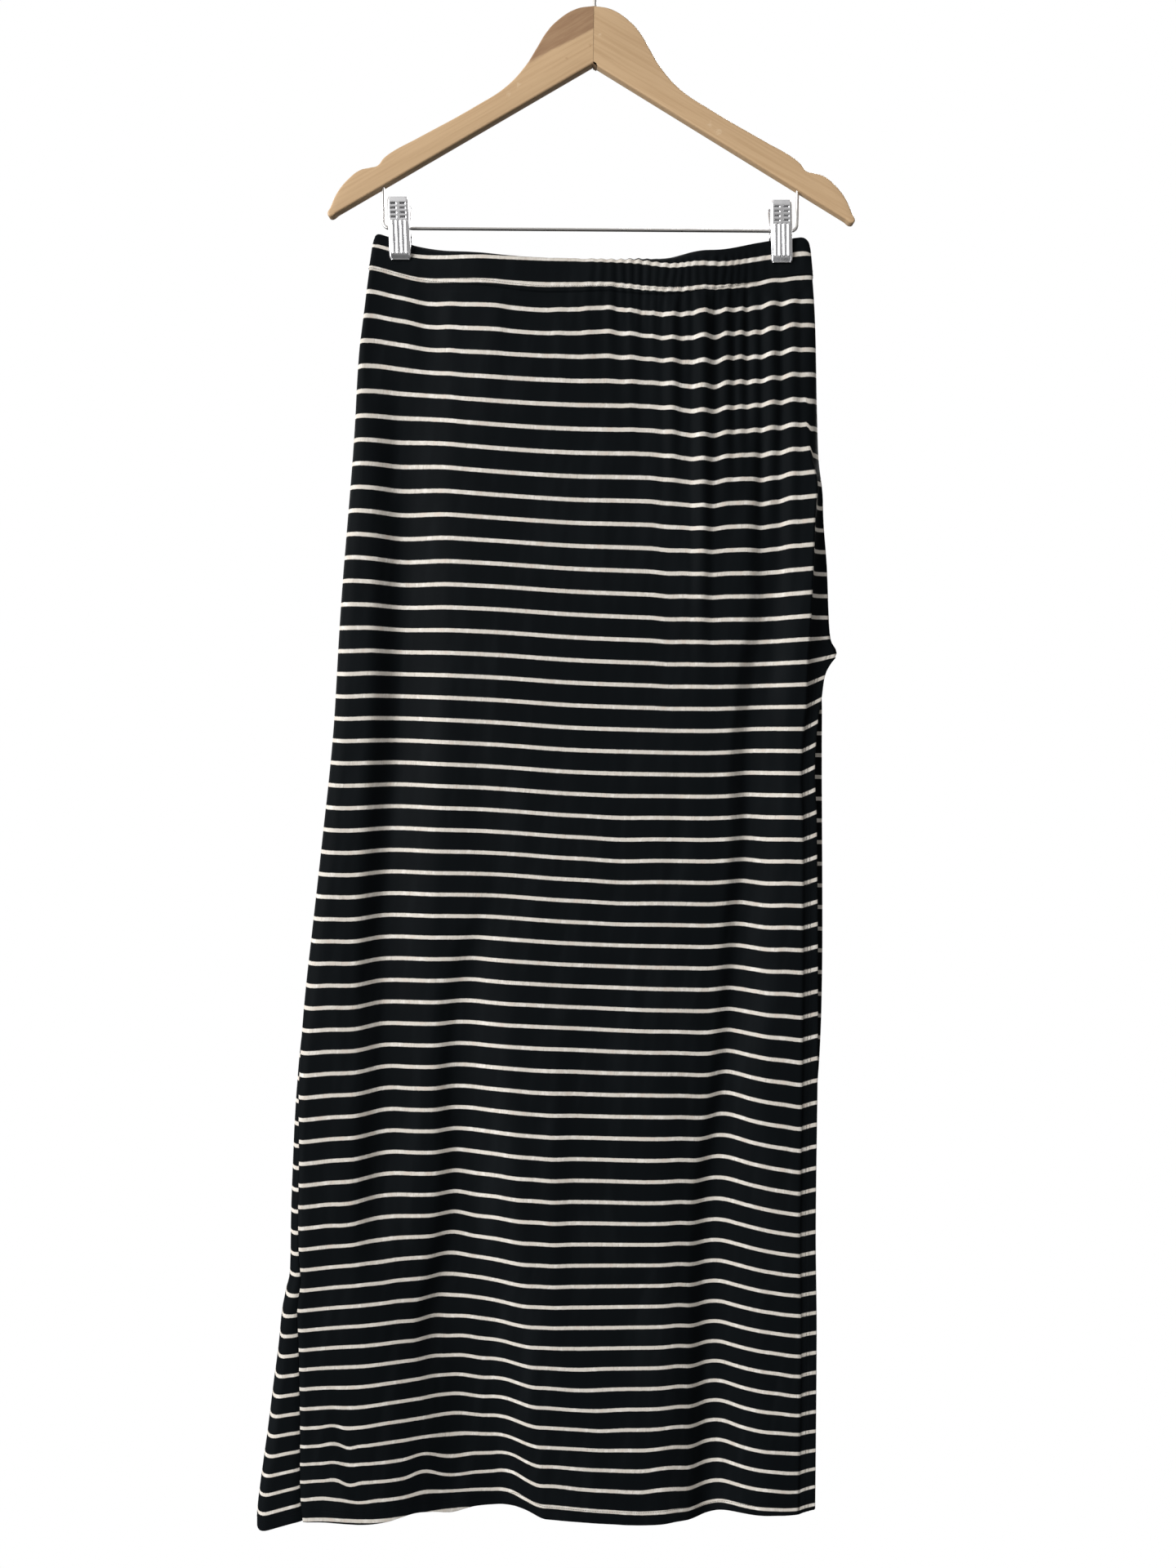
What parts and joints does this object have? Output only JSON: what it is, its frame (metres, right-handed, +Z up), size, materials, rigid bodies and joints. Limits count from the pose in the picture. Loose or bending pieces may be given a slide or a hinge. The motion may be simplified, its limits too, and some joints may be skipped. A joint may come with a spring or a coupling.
{
  "type": "maxi skirt on a clip hanger",
  "caption": "Striped jersey maxi skirt with a side slit and an elastic casing, hung by clips from the wire bar of a flat wooden hanger.",
  "frame": {"origin": "inside top of the hook's crook, where a rail carries it", "axes": "+Z up, +X to the right as seen from the front, which faces -Y"},
  "size_m": [0.5098, 0.0408, 1.3485],
  "materials": {
    "striped_jersey": "soft matt single jersey, black with narrow cream stripes",
    "hanger_wood": "satin clear lacquer",
    "plated_steel": "bright plating"
  },
  "bodies": {
    "root": {"skirt_front_top_left": "striped_jersey", "skirt_front_top_right": "striped_jersey", "skirt_front_hip_left": "striped_jersey", "skirt_front_hip_right": "striped_jersey", "skirt_front_knee_left": "striped_jersey", "skirt_front_knee_right": "striped_jersey", "skirt_front_hem_left": "striped_jersey", "skirt_front_hem_right": "striped_jersey", "skirt_back_top_left": "striped_jersey", "skirt_back_top_right": "striped_jersey", "skirt_back_hip_left": "striped_jersey", "skirt_back_hip_right": "striped_jersey", "skirt_back_knee_left": "striped_jersey", "skirt_back_knee_right": "striped_jersey", "skirt_back_hem_left": "striped_jersey", "skirt_back_hem_right": "striped_jersey", "waistband": "striped_jersey", "hanger_arm_left": "hanger_wood", "hanger_arm_right": "hanger_wood", "hook": "plated_steel", "clip_bar": "plated_steel", "clip_left_front_jaw": "plated_steel", "clip_left_back_jaw": "plated_steel", "clip_left_spring": "plated_steel", "clip_right_front_jaw": "plated_steel", "clip_right_back_jaw": "plated_steel", "clip_right_spring": "plated_steel"}
  },
  "joints": []
}
